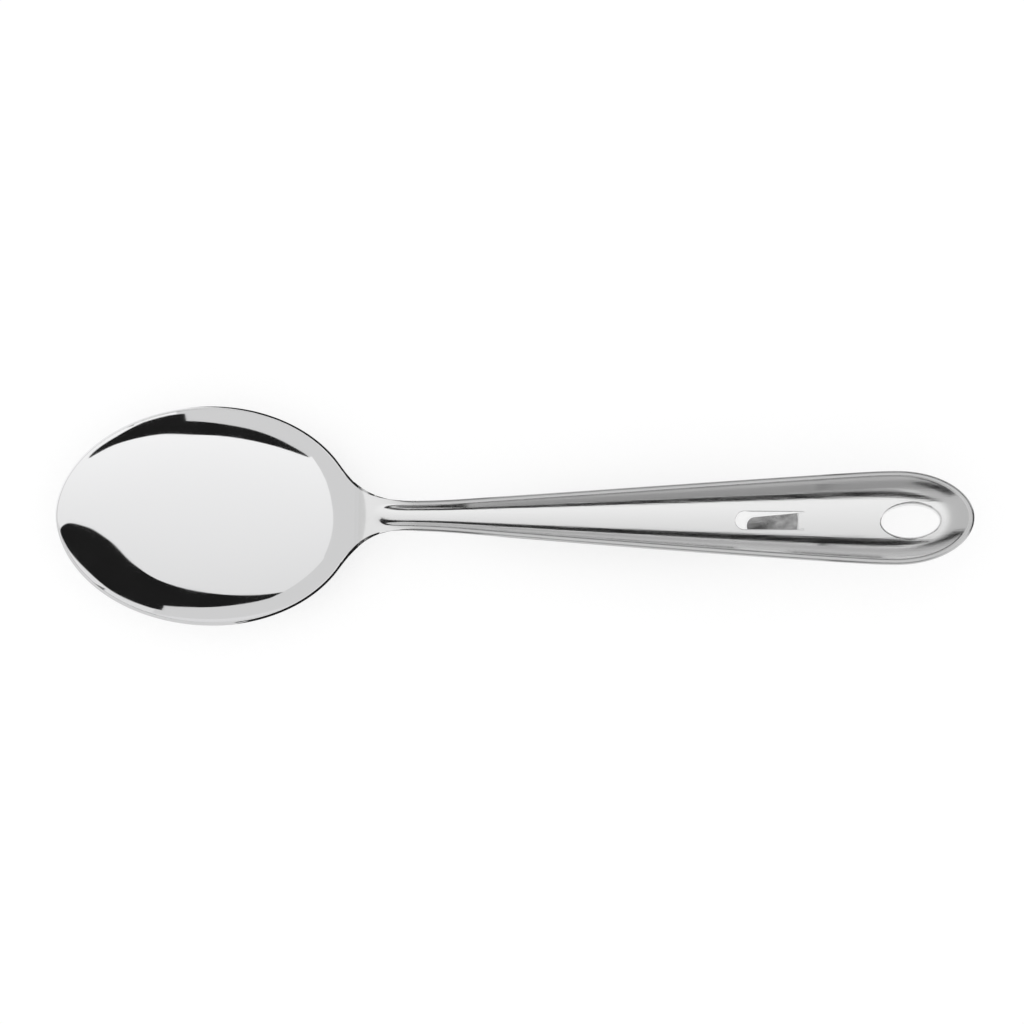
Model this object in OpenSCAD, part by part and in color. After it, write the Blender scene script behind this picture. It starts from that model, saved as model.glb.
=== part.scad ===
// Stainless serving spoon: a polished bowl and a pressed handle, joined at the neck.
// It lies as it would on a table, on the belly of the bowl and the tip of the rest tongue.
// x runs from the bowl to the end of the handle, z is up, sizes are in millimetres.

/* [Overall] */
// Length from the bowl's tip to the handle's end, along the bowl's rim plane
total_len = 310; // [250:1:380]
// Thickness of the pressed sheet
sheet_t = 1.2; // [0.9:0.1:1.6]

/* [Bowl] */
// Width of the bowl over its rim
bowl_w = 75.4; // [60:0.2:90]
// Length from the bowl's tip to its widest place
bowl_front = 53; // [44:0.5:64]
// Length from the widest place to where the bowl's oval would close
bowl_back = 49; // [40:0.5:60]
// How pointed the bowl's front is: 1 is an ellipse
bowl_point = 1.05; // [0.9:0.01:1.2]
// Depth inside, from the rim plane
bowl_depth = 11.5; // [9:0.25:15]
// Part of the depth that the steep outer wall takes
wall_share = 0.33; // [0.1:0.01:0.5]
// How sharply the steep wall turns up, as a power of the distance from the middle
wall_power = 5; // [4:1:12]
// Width of the bare cut edge, seen from above
rim_run = 0.9; // [0.5:0.05:1.1]

/* [Neck] */
// Distance from where the bowl's oval would close, back to where the outline leaves it
shoulder_back = 5.6; // [4:0.1:15]
// Distance from where the bowl's oval would close, on to the narrowest place of the neck
neck_out = 22; // [16:0.5:31]
// Height of the neck's edges above the bowl's rim
neck_lift = 4; // [2.5:0.25:7]
// Height over which the bowl's wall rounds over into the neck
neck_round = 3.5; // [1:0.25:3.5]
// Width of the neck at its narrowest
neck_w = 10.4; // [8:0.1:14]
// Distance from where the bowl's oval would close, back to the weld across the neck
seam_back = 0.2; // [0:0.1:2]
// Width of the weld
weld_w = 1.4; // [0.8:0.1:2]
// Height of the dressed weld above the sheet
weld_proud = 0.06; // [0:0.01:0.2]

/* [Handle] */
// Width of the handle at its widest, near the end
handle_w = 32.1; // [24:0.2:38]
// Length of the rounded end beyond the widest place
end_run = 26; // [20:0.5:32]
// Length of the swell before the widest place
hip_run = 18; // [12:0.5:24]
// Width of the handle where the swell begins
hip_w = 30.5; // [22:0.1:36]
// Length beyond the narrowest place where the handle has its full taper
waist_run = 28; // [20:0.5:40]
// Width of the handle there
waist_w = 14; // [11:0.1:18]
// Width of the rolled lip along the edge, seen from above
lip_w = 1.7; // [1.2:0.1:2.2]
// Height of the lip
lip_h = 2; // [1.6:0.1:2.6]
// Slope of the channel where it meets the lip, in degrees
channel_slope = 56; // [30:1:60]
// Distance from the narrowest place of the neck back to where the channel begins
nose_back = 16.5; // [12:0.5:20]
// Length of the channel's rounded start
nose_run = 11; // [5:0.5:14]
// Length of the neck over which the lip forms, up to the narrowest place
lip_lead = 14; // [8:0.2:18]
// Rise of the handle out of the neck, in degrees
neck_rise = 0; // [-2:0.5:6]
// Rise of the handle at its end, in degrees
end_rise = 4; // [-2:0.5:7]

/* [Hanging hole] */
// Length of the oval hole, inside its rolled edge
hole_len = 19.4; // [13:0.2:22]
// Width of the oval hole, inside its rolled edge
hole_w = 11; // [7:0.2:13.8]
// Radius of the rolled edge of the hole
hole_roll = 0.9; // [0.4:0.1:1.1]
// Distance from the hole's middle to the handle's end
hole_back = 21.2; // [19:0.2:25]
// Height of the turned-down collar under the hole
collar_h = 1.4; // [0.8:0.1:2.5]
// Thickness of the collar
collar_t = 0.9; // [0.6:0.1:1.2]

/* [Rest tongue] */
// Length of the slot that the tongue is pressed out of
slot_len = 23.2; // [18:0.2:28]
// Width of the slot
slot_w = 6.2; // [5:0.1:8]
// Distance from the tongue's root to the handle's end
slot_back = 57.1; // [50:0.1:70]
// Gap between the tongue and the slot, on each side
tongue_gap = 0.3; // [0.15:0.05:0.6]
// Slope of the tongue, in degrees from the handle
tongue_fall = 31; // [15:1:40]
// Length of the tongue's straight part
tongue_len = 20; // [12:0.1:24]
// Thickness of the tongue
tongue_t = 0.85; // [0.6:0.05:0.9]
// Bending radius of the tongue, at its middle
tongue_r = 3.6; // [1.5:0.1:5]

/* [Hidden] */

steel_polished = [0.86, 0.86, 0.87];
steel_satin = [0.76, 0.76, 0.77];
steel_weld = [0.70, 0.70, 0.71];

// Places along the spoon, measured from the bowl's tip
widest_x = bowl_front;
oval_end = bowl_front + bowl_back;
shoulder_x = oval_end - shoulder_back;
seam_x = oval_end - seam_back;
neck_x = oval_end + neck_out;
waist_x = neck_x + waist_run;
end_x = total_len - end_run;
hip_x = end_x - hip_run;
bowl_stop = seam_x - weld_w / 2;
handle_start = seam_x + weld_w / 2;
lip_x = neck_x - lip_lead;
nose_x = neck_x - nose_back;
nose_end = nose_x + nose_run;
hole_x = total_len - hole_back;
slot_x = total_len - slot_back;

// Slopes of the outline, and the flat part of the lip's width
neck_slope = 0.02;
waist_slope = 0.075;
hip_slope = 0.064;
lip_flat = 0.35;

// Steps of the surfaces
front_steps = 15;
back_steps = 10;
shoulder_steps = 5;
seam_steps = 5;
ring_steps = 13;
nose_steps = 14;
side_steps = 26;
hip_steps = 6;
end_steps = 15;
channel_steps = 9;
lip_steps = 4;
hole_steps = 36;
roll_steps = 3;
bend_steps = 4;
tip_steps = 6;
tiny = 0.02;
cut_over = 0.5;
roll_over = 0.2;

// Curves
function smooth(x, x0, x1) =
    let (t = min(max((x - x0) / (x1 - x0), 0), 1))
    t * t * (3 - 2 * t);

function hermite(x, x0, y0, m0, x1, y1, m1) =
    let (h = x1 - x0, t = (x - x0) / h, r = 1 - t)
    (1 + 2 * t) * r * r * y0 + t * r * r * h * m0 + t * t * (3 - 2 * t) * y1 - t * t * r * h * m1;

// Height gained from x0 to x on a slope that goes evenly from s0 to s1 at x1
function climb(x, x0, x1, s0, s1) =
    let (d = min(max(x, x0), x1) - x0)
    s0 * d + (s1 - s0) * d * d / (2 * (x1 - x0));

// Outline, as half of the width over the cut edge
function oval_rise(u) = sqrt(max(1 - u * u, 0));
shoulder_u = 1 - shoulder_back / bowl_back;
shoulder_y = bowl_w / 2 * oval_rise(shoulder_u);
shoulder_m = -bowl_w / 2 * shoulder_u / bowl_back / oval_rise(shoulder_u);

function half_w(x) =
    x < neck_x ? hermite(x, shoulder_x, shoulder_y, shoulder_m, neck_x, neck_w / 2, neck_slope)
    : x < waist_x ? hermite(x, neck_x, neck_w / 2, neck_slope, waist_x, waist_w / 2, waist_slope)
    : x < hip_x ? hermite(x, waist_x, waist_w / 2, waist_slope, hip_x, hip_w / 2, hip_slope)
    : hermite(x, hip_x, hip_w / 2, hip_slope, end_x, handle_w / 2, 0);

// The bare edge slants on the bowl and is upright where the lip has formed
function edge_run(x) =
    let (m = (half_w(x + tiny) - half_w(x - tiny)) / (2 * tiny))
    rim_run * sqrt(1 + m * m) * (1 - smooth(x, seam_x, (lip_x + neck_x) / 2));

// Heights of the sheet's upper face: the dish of the bowl, and the deck of the handle with its channel
function wall(r) =
    r < 1 ? 1 - (1 - wall_share) * r * r - wall_share * pow(r, wall_power)
    : (2 * (1 - wall_share) + wall_share * wall_power) * (1 - r);

function dish_z(x, y) =
    let (
        ex = (x - widest_x) / ((x < widest_x ? bowl_front : bowl_back) - rim_run),
        ey = y / (bowl_w / 2 - rim_run)
    )
    -bowl_depth * wall(norm([ex, ey]));

function deck_z(x) = neck_lift + climb(x, neck_x, total_len, tan(neck_rise), tan(end_rise));

function channel_half(x) = half_w(min(max(x, seam_x), end_x)) - lip_w;

function channel_depth(x, y) =
    let (
        beyond = max(x - end_x, 0) / (end_run - lip_w) + max(nose_end - x, 0) / nose_run,
        v = min(norm([beyond, y / channel_half(x)]), 1),
        s = v * sin(channel_slope)
    )
    channel_half(max(x, nose_end)) * (sqrt(1 - s * s) - cos(channel_slope)) / sin(channel_slope);

// The lower of two heights, rounded where they cross
function soft_min(a, b, k) =
    let (h = max(k - abs(a - b), 0) / k)
    min(a, b) - h * h * k / 4;

function face_z(x, y) = soft_min(dish_z(x, y), deck_z(x) - channel_depth(x, y), neck_round);

// Height of the lower face, a sheet's thickness away square to the surface
function back_z(x, y) =
    let (
        gx = (face_z(x + tiny, y) - face_z(x - tiny, y)) / (2 * tiny),
        gy = (face_z(x, y + tiny) - face_z(x, y - tiny)) / (2 * tiny)
    )
    face_z(x, y) - sheet_t * sqrt(1 + gx * gx + gy * gy);

function lip_part(x) = smooth(x, lip_x, neck_x);

function lip_drop(x, q) =
    let (u = max(q - lip_flat, 0) / (1 - lip_flat))
    lip_part(x) * lip_h / 2 * (1 - sqrt(1 - u * u));

// The bowl: rings round its widest place, out to the rim and back underneath
bowl_middle = [widest_x, 0];
back_angle = acos(shoulder_u);

function oval(t, inset) = [
    widest_x + ((t > 90 ? bowl_front : bowl_back) - inset) * cos(t),
    (bowl_w / 2 - inset) * pow(max(sin(t), 0), t > 90 ? bowl_point : 1)
];

function bowl_edge(inner) = concat(
    [for (k = [0:front_steps - 1]) oval(180 - 90 * k / front_steps, inner ? rim_run : 0)],
    [for (k = [0:back_steps]) oval(90 - (90 - back_angle) * k / back_steps, inner ? rim_run : 0)],
    [for (k = [1:shoulder_steps])
        let (x = shoulder_x + (bowl_stop - shoulder_x) * k / shoulder_steps)
        [x, half_w(x) - (inner ? edge_run(x) : 0)]],
    [for (k = [1:seam_steps])
        [bowl_stop, (half_w(bowl_stop) - (inner ? edge_run(bowl_stop) : 0)) * (1 - k / seam_steps)]]
);

function mirrored(upper) =
    concat(upper, [for (k = [len(upper) - 2:-1:1]) [upper[k][0], -upper[k][1]]]);

function ring_share(j) = sin(90 * j / ring_steps);

function bowl_ring(j, inner) = [
    for (p = mirrored(bowl_edge(inner)))
        let (q = bowl_middle + ring_share(j) * (p - bowl_middle))
        [q[0], q[1], inner ? face_z(q[0], q[1]) : back_z(q[0], q[1])]
];

// Faces between rings of n points each, with the first ring's points numbered from start
function ring_faces(n, m, start) = [
    for (j = [0:m - 2]) for (k = [0:n - 1])
        let (a = start + j * n + k, b = start + j * n + (k + 1) % n)
        each [[a, a + n, b + n], [a, b + n, b]]
];

// Closed skin over rings, with a pole at each end
module skin(first, rings, last) {
    n = len(rings[0]);
    m = len(rings);
    points = concat([first], [for (r = rings) each r], [last]);
    faces = concat(
        [for (k = [0:n - 1]) [0, 1 + k, 1 + (k + 1) % n]],
        ring_faces(n, m, 1),
        [for (k = [0:n - 1]) [1 + m * n, 1 + (m - 1) * n + (k + 1) % n, 1 + (m - 1) * n + k]]
    );
    polyhedron(points, faces);
}

// Closed skin over rings that each go along a strip and back, with the strip as the cap at each end
module strip_skin(rings) {
    n = len(rings[0]);
    m = len(rings);
    caps = [for (j = [0:n / 2 - 2])
        let (a = j, b = j + 1, c = n - 2 - j, d = n - 1 - j, e = (m - 1) * n)
        each [[a, b, c], [a, c, d], [e + a, e + c, e + b], [e + a, e + d, e + c]]];
    polyhedron([for (r = rings) each r], concat(ring_faces(n, m, 0), caps));
}

// The handle: half sections from the spine out over the lip and back underneath
side_x = concat(
    [for (k = [0:nose_steps - 1]) handle_start + (neck_x - handle_start) * k / nose_steps],
    [for (k = [0:side_steps - 1]) neck_x + (hip_x - neck_x) * k / side_steps],
    [for (k = [0:hip_steps]) hip_x + (end_x - hip_x) * k / hip_steps]
);
side_n = len(side_x);
station_n = 2 * side_n + end_steps;

function on_side(i) = i < side_n || i >= side_n + end_steps;
function spine_at(i) = min(i, station_n - 1 - i, side_n - 1);
function side_sign(i) = i < side_n ? 1 : -1;
function end_angle(i) = 90 - 180 * (i - side_n + 1) / (end_steps + 1);

// A point of station i at a distance from the spine: the channel ends at 1 and the lip at 2
function plan(i, s, inner) =
    let (u = min(s, 1), q = max(s - 1, 0), x = side_x[spine_at(i)], a = end_angle(i))
    on_side(i)
    ? let (w = half_w(x) - (inner ? edge_run(x) : 0), c = half_w(x) - lip_w)
      [x, side_sign(i) * (u * c + q * (w - c))]
    : let (c = handle_w / 2 - lip_w)
      [end_x + (u * (end_run - lip_w) + q * lip_w) * cos(a), (u * c + q * lip_w) * sin(a)];

section_s = concat(
    [for (k = [0:channel_steps]) k / channel_steps],
    [for (k = [1:lip_steps]) 1 + sin(90 * k / lip_steps)]
);
section_n = len(section_s);

function handle_top(i, s) =
    let (p = plan(i, s, true))
    [p[0], p[1], face_z(p[0], p[1]) - lip_drop(p[0], max(s - 1, 0))];

function handle_back(i, s) =
    let (p = plan(i, s, false), lip = lip_part(p[0]), q = min(max(s - 1, 0) / lip_flat, 1))
    [p[0], p[1], back_z(p[0], p[1]) * (1 - lip * q) + (face_z(p[0], p[1]) - lip_h) * lip * q];

// Number of the point j of station i: the stations share the points on the spine
function handle_id(i, j) =
    j == 0 ? spine_at(i)
    : j == 2 * section_n - 1 ? side_n + spine_at(i)
    : 2 * side_n + i * (2 * section_n - 2) + j - 1;

module handle_sheet() {
    last = 2 * section_n - 1;
    points = concat(
        [for (i = [0:side_n - 1]) handle_top(i, 0)],
        [for (i = [0:side_n - 1]) handle_back(i, 0)],
        [for (i = [0:station_n - 1]) each concat(
            [for (j = [1:section_n - 1]) handle_top(i, section_s[j])],
            [for (j = [section_n - 1:-1:1]) handle_back(i, section_s[j])])]
    );
    strips = [for (i = [0:station_n - 2]) for (j = [0:last - 1])
        let (
            a = handle_id(i, j),
            b = handle_id(i + 1, j),
            c = handle_id(i + 1, j + 1),
            d = handle_id(i, j + 1)
        )
        each concat(a == b ? [] : [[a, c, b]], c == d ? [] : [[a, d, c]])];
    caps = [for (i = [0, station_n - 1]) for (j = [0:section_n - 2])
        let (
            a = handle_id(i, j),
            b = handle_id(i, j + 1),
            c = handle_id(i, last - j - 1),
            d = handle_id(i, last - j)
        )
        each i == 0 ? [[a, c, b], [a, d, c]] : [[a, b, c], [a, c, d]]];
    polyhedron(points, concat(strips, caps));
}

// The tongue: a strip of the sheet, bent down at the slot's end
tongue_half = slot_w / 2 - tongue_gap;
tongue_root = slot_x + sheet_t;
root_angle = atan((face_z(slot_x + tiny, 0) - face_z(slot_x - tiny, 0)) / (2 * tiny));
fall_angle = root_angle + tongue_fall;
root_sag = face_z(slot_x, tongue_half) - face_z(slot_x, 0);
bend_len = tongue_r * tongue_fall * PI / 180;

// Runs of the tongue's middle line: each is a length and the angle that it goes down at, towards the bowl
tongue_runs = concat(
    [[sheet_t, root_angle]],
    [for (k = [1:bend_steps])
        [bend_len / bend_steps, root_angle + tongue_fall * (k - 0.5) / bend_steps]],
    [[tongue_len - tongue_half, fall_angle]],
    [for (k = [1:tip_steps])
        [tongue_half * (sin(90 * k / tip_steps) - sin(90 * (k - 1) / tip_steps)), fall_angle]]
);
tongue_n = len(tongue_runs);

function tongue_at(k) =
    k == 0 ? [tongue_root, 0, face_z(tongue_root, 0) - sheet_t / 2 + root_sag / 2]
    : let (p = tongue_at(k - 1), r = tongue_runs[k - 1]) p + r[0] * [-cos(r[1]), 0, -sin(r[1])];

function tongue_up(k) =
    let (a = tongue_runs[min(k, tongue_n - 1)][1])
    [-sin(a), 0, cos(a)] * tongue_t / 2;

function tongue_side(k) =
    let (left = tongue_n - k)
    left >= tip_steps ? tongue_half : max(tongue_half * sin(90 * left / tip_steps), tiny);

module tongue() {
    last = 4 * tongue_n;
    points = [for (k = [0:tongue_n])
        let (p = tongue_at(k), up = tongue_up(k), y = [0, tongue_side(k), 0])
        each [p + up + y, p + up - y, p - up - y, p - up + y]];
    faces = concat(
        [[0, 2, 1], [0, 3, 2]],
        [for (k = [0:tongue_n - 1]) for (j = [0:3])
            let (a = 4 * k + j, b = 4 * k + (j + 1) % 4)
            each [[a, b + 4, a + 4], [a, b, b + 4]]],
        [[last, last + 1, last + 2], [last, last + 2, last + 3]]
    );
    polyhedron(points, faces);
}

// A ring round the hanging hole, with a section of [growth of the hole, height above the sheet's face]
module hole_ring(section) {
    m = len(section);
    n = m * hole_steps;
    points = [for (k = [0:hole_steps - 1]) for (s = section)
        let (
            a = 360 * k / hole_steps,
            x = hole_x + (hole_len / 2 + s[0]) * cos(a),
            y = (hole_w / 2 + s[0]) * sin(a)
        )
        [x, y, face_z(x, y) + s[1]]];
    faces = [for (k = [0:hole_steps - 1]) for (j = [0:m - 1])
        let (a = m * k + j, b = m * k + (j + 1) % m)
        each [[a, (a + m) % n, (b + m) % n], [a, (b + m) % n, b]]];
    polyhedron(points, faces);
}

// The collar under the hole, sunk into the sheet above it
module collar() {
    low = -sheet_t - collar_h;
    hole_ring([[-cut_over, -sheet_t / 2], [collar_t, -sheet_t / 2], [collar_t, low], [-cut_over, low]]);
}

// What the rolled edge takes off the sheet round the hole
module roll_cut() {
    roll = [for (k = [1:roll_steps])
        let (a = 90 * k / roll_steps)
        hole_roll * [1 - sin(a), cos(a) - 1]];
    brim = hole_roll + roll_over;
    above = roll_over * tan(45 / roll_steps);
    outside = [[-cut_over, cut_over], [brim, cut_over], [brim, above]];
    hole_ring(concat(outside, roll, [[-cut_over, -hole_roll]]));
}

module hole_cut() {
    oval = [for (k = [0:2 * hole_steps - 1])
        let (a = 180 * k / hole_steps)
        [hole_x + hole_len / 2 * cos(a), hole_w / 2 * sin(a)]];
    translate([0, 0, face_z(hole_x, 0) - handle_w / 2])
        linear_extrude(handle_w)
            polygon(oval);
}

module slot_cut() {
    translate([0, 0, face_z(slot_x, 0) - handle_w / 2])
        linear_extrude(handle_w)
            union() {
                translate([slot_x - slot_len + slot_w / 2, 0])
                    circle(d = slot_w, $fn = 48);
                translate([slot_x - slot_len + slot_w / 2, -slot_w / 2])
                    square([slot_len - slot_w / 2, slot_w]);
            }
}

// How the spoon lies: tilted until the belly and the lowest place of the handle are level
belly = [for (k = [0:ring_steps])
    let (x = widest_x + (bowl_stop - widest_x) * ring_share(k))
    [x, back_z(x, 0)]];
heel = concat(
    [for (i = [side_n - hip_steps:side_n + floor(end_steps / 2)]) for (s = [0, 2])
        let (p = handle_back(i, s))
        [p[0], p[2]]],
    [for (k = [0:tongue_n])
        let (p = tongue_at(k) - tongue_up(k))
        [p[0], p[2]]]
);

function fall(p, a) = p[1] * cos(a) - p[0] * sin(a);
function lowest(list, a) = min([for (p = list) fall(p, a)]);
function rest_angle(a0, a1, n) =
    let (a = (a0 + a1) / 2)
    n == 0 ? a
    : lowest(heel, a) > lowest(belly, a) ? rest_angle(a, a1, n - 1) : rest_angle(a0, a, n - 1);

rest = rest_angle(-10, 30, 40);
rest_z = lowest(belly, rest);
bowl_tips = [[0, back_z(0, 0)], [rim_run, face_z(rim_run, 0)]];
handle_tip = handle_top(side_n + floor(end_steps / 2), 2);
handle_foot = handle_back(side_n + floor(end_steps / 2), 2);

function ahead(p) = p[0] * cos(rest) + p[1] * sin(rest);
rest_x0 = min([for (p = bowl_tips) ahead(p)]);
rest_x1 = max(ahead([handle_tip[0], handle_tip[2]]), ahead([handle_foot[0], handle_foot[2]]));

module at_rest() {
    translate([-(rest_x0 + rest_x1) / 2, 0, -rest_z])
        rotate([0, rest, 0])
            children();
}

module bowl() {
    color(steel_polished)
        at_rest()
            skin(
                [widest_x, 0, face_z(widest_x, 0)],
                concat(
                    [for (j = [1:ring_steps]) bowl_ring(j, true)],
                    [for (j = [ring_steps:-1:1]) bowl_ring(j, false)]
                ),
                [widest_x, 0, back_z(widest_x, 0)]
            );
}

module handle() {
    color(steel_satin)
        at_rest()
            difference() {
                union() {
                    difference() {
                        handle_sheet();
                        slot_cut();
                    }
                    tongue();
                    collar();
                }
                hole_cut();
                roll_cut();
            }
}

// The weld fills the gap between the bowl and the handle, a hair above the sheet
module neck_weld() {
    function section(x, proud) = concat(
        [for (k = [-seam_steps:seam_steps])
            let (y = (half_w(x) - edge_run(x)) * k / seam_steps)
            [x, y, face_z(x, y) + proud * (1 - pow(k / seam_steps, 4))]],
        [for (k = [seam_steps:-1:-seam_steps])
            let (y = half_w(x) * k / seam_steps)
            [x, y, back_z(x, y) - proud * (1 - pow(k / seam_steps, 4))]]
    );
    color(steel_weld)
        at_rest()
            strip_skin([section(bowl_stop, 0), section(seam_x, weld_proud), section(handle_start, 0)]);
}

bowl();
handle();
neck_weld();
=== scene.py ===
"""Looks of a stainless serving spoon: a polished bowl, a satin handle and the dressed weld between them."""
import math

import bmesh
import bpy
import numpy as np
from mathutils import Matrix, Vector


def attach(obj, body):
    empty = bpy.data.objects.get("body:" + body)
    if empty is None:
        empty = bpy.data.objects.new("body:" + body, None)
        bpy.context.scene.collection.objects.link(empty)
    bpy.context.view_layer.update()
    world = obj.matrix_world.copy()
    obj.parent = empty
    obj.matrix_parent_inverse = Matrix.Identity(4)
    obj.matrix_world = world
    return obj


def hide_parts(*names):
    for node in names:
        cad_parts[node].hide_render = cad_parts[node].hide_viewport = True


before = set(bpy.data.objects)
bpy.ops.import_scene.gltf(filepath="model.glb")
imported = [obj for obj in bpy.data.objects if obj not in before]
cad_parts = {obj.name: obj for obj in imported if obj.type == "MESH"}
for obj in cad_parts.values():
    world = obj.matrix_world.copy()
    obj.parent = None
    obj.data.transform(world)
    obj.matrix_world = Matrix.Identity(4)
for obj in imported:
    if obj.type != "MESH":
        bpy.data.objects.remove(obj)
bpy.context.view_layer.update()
scene = bpy.context.scene
scene.view_settings.view_transform = "Standard"

# Sizes in millimetres, with angles, slopes and shares, as the part's source has them
TOTAL_LEN = 310.0
SHEET_T = 1.2
BOWL_W = 75.4
BOWL_FRONT = 53.0
BOWL_BACK = 49.0
BOWL_POINT = 1.05
BOWL_DEPTH = 11.5
WALL_SHARE = 0.33
WALL_POWER = 5
RIM_RUN = 0.9
SHOULDER_BACK = 5.6
NECK_OUT = 22.0
NECK_LIFT = 4.0
NECK_ROUND = 3.5
NECK_W = 10.4
SEAM_BACK = 0.2
WELD_W = 1.4
HANDLE_W = 32.1
END_RUN = 26.0
HIP_RUN = 18.0
HIP_W = 30.5
WAIST_RUN = 28.0
WAIST_W = 14.0
LIP_W = 1.7
LIP_H = 2.0
CHANNEL_SLOPE = math.radians(56)
NOSE_BACK = 16.5
NOSE_RUN = 11.0
LIP_LEAD = 14.0
NECK_RISE = 0.0
END_RISE = math.tan(math.radians(4))
HOLE_LEN = 19.4
HOLE_W = 11.0
HOLE_ROLL = 0.9
HOLE_BACK = 21.2
COLLAR_H = 1.4
COLLAR_T = 0.9
SLOT_LEN = 23.2
SLOT_W = 6.2
SLOT_BACK = 57.1
TONGUE_GAP = 0.3
TONGUE_FALL = math.radians(31)
TONGUE_LEN = 20.0
TONGUE_T = 0.85
TONGUE_R = 3.6
NECK_SLOPE = 0.02
WAIST_SLOPE = 0.075
HIP_SLOPE = 0.064
LIP_FLAT = 0.35

# Sizes that only the looks need: rounded edges, the turn from the channel to the lip and the dressed weld
EDGE_R = 0.18
BROW_R = 0.45
LIP_R = 0.5
WELD_PROUD = 0.02

# Steps of slopes and of lines that are followed point by point, and a millimetre in metres
TINY = 0.02
LINE_STEPS = 1500
REST_STEPS = 400
REST_HALVINGS = 40
MM = 0.001

# Places along the spoon, measured from the bowl's tip
WIDEST_X = BOWL_FRONT
OVAL_END = BOWL_FRONT + BOWL_BACK
SHOULDER_X = OVAL_END - SHOULDER_BACK
SEAM_X = OVAL_END - SEAM_BACK
NECK_X = OVAL_END + NECK_OUT
WAIST_X = NECK_X + WAIST_RUN
END_X = TOTAL_LEN - END_RUN
HIP_X = END_X - HIP_RUN
BOWL_STOP = SEAM_X - WELD_W / 2
HANDLE_START = SEAM_X + WELD_W / 2
LIP_X = NECK_X - LIP_LEAD
NOSE_END = NECK_X - NOSE_BACK + NOSE_RUN
HOLE_X = TOTAL_LEN - HOLE_BACK
SLOT_X = TOTAL_LEN - SLOT_BACK
SLOT_END = SLOT_X - SLOT_LEN
TONGUE_HALF = SLOT_W / 2 - TONGUE_GAP


# Curves of the outline and the heights of the sheet's two faces
def smooth(x, x0, x1):
    """0 up to x0 and 1 from x1, with an even curve between them."""
    t = np.clip((x - x0) / (x1 - x0), 0, 1)
    return t * t * (3 - 2 * t)


def hermite(x, x0, y0, m0, x1, y1, m1):
    """A cubic curve from x0, y0 to x1, y1, with the slopes m0 and m1 there."""
    h = x1 - x0
    t = (x - x0) / h
    r = 1 - t
    return (1 + 2 * t) * r * r * y0 + t * r * r * h * m0 + t * t * (3 - 2 * t) * y1 - t * t * r * h * m1


def climb(x, x0, x1, s0, s1):
    """Height gained from x0 to x on a slope that goes evenly from s0 to s1 at x1."""
    d = np.clip(x, x0, x1) - x0
    return s0 * d + (s1 - s0) * d * d / (2 * (x1 - x0))


SHOULDER_U = 1 - SHOULDER_BACK / BOWL_BACK
SHOULDER_RISE = math.sqrt(1 - SHOULDER_U**2)
SHOULDER_Y = BOWL_W / 2 * SHOULDER_RISE
SHOULDER_M = -BOWL_W / 2 * SHOULDER_U / BOWL_BACK / SHOULDER_RISE


def half_w(x):
    """Half of the width over the cut edge, from the shoulder to the widest place of the handle."""
    shoulder = hermite(x, SHOULDER_X, SHOULDER_Y, SHOULDER_M, NECK_X, NECK_W / 2, NECK_SLOPE)
    waist = hermite(x, NECK_X, NECK_W / 2, NECK_SLOPE, WAIST_X, WAIST_W / 2, WAIST_SLOPE)
    taper = hermite(x, WAIST_X, WAIST_W / 2, WAIST_SLOPE, HIP_X, HIP_W / 2, HIP_SLOPE)
    hip = hermite(x, HIP_X, HIP_W / 2, HIP_SLOPE, END_X, HANDLE_W / 2, 0)
    return np.select([x < NECK_X, x < WAIST_X, x < HIP_X], [shoulder, waist, taper], hip)


def edge_run(x):
    """Slant of the bare cut edge, which is upright where the lip has formed."""
    m = (half_w(x + TINY) - half_w(x - TINY)) / (2 * TINY)
    return RIM_RUN * np.sqrt(1 + m * m) * (1 - smooth(x, SEAM_X, (LIP_X + NECK_X) / 2))


def wall(r):
    """Depth of the bowl as a share of its greatest, where r is 0 in the middle and 1 at the rim."""
    inside = 1 - (1 - WALL_SHARE) * r * r - WALL_SHARE * np.minimum(r, 1)**WALL_POWER
    beyond = (2 * (1 - WALL_SHARE) + WALL_SHARE * WALL_POWER) * (1 - r)
    return np.where(r < 1, inside, beyond)


def dish_z(x, y):
    """Height of the bowl's inside, and of its wall carried on beyond the rim."""
    ex = (x - WIDEST_X) / (np.where(x < WIDEST_X, BOWL_FRONT, BOWL_BACK) - RIM_RUN)
    ey = y / (BOWL_W / 2 - RIM_RUN)
    return -BOWL_DEPTH * wall(np.hypot(ex, ey))


def deck_z(x):
    """Height of the edges of the neck and handle."""
    return NECK_LIFT + climb(x, NECK_X, TOTAL_LEN, NECK_RISE, END_RISE)


def channel_half(x):
    """Half of the channel's width, inside the lips."""
    return half_w(np.clip(x, SEAM_X, END_X)) - LIP_W


def channel_share(x, y):
    """How far out a point of the channel is: 0 on its middle line and 1 where it meets the lip."""
    beyond = np.maximum(x - END_X, 0) / (END_RUN - LIP_W) + np.maximum(NOSE_END - x, 0) / NOSE_RUN
    return np.hypot(beyond, y / channel_half(x))


def channel_depth(x, y):
    """Depth of the channel below the deck: a round trough, with a small turn where it meets the lip."""
    c = channel_half(x)
    v = channel_share(x, y)
    top = math.sin(CHANNEL_SLOPE)

    def trough(t):
        return (np.sqrt(1 - (t * top)**2) - math.cos(CHANNEL_SLOPE)) / top

    v1 = 1 - BROW_R / c
    slope = v1 * top / np.sqrt(1 - (v1 * top)**2)
    run = 2 * trough(v1) / slope
    brow = slope / (2 * run) * np.clip(v1 + run - v, 0, run)**2
    return channel_half(np.maximum(x, NOSE_END)) * np.where(v < v1, trough(np.minimum(v, v1)), brow)


def soft_min(a, b, k):
    """The lower of two heights, rounded where they cross."""
    h = np.maximum(k - np.abs(a - b), 0) / k
    return np.minimum(a, b) - h * h * k / 4


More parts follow.
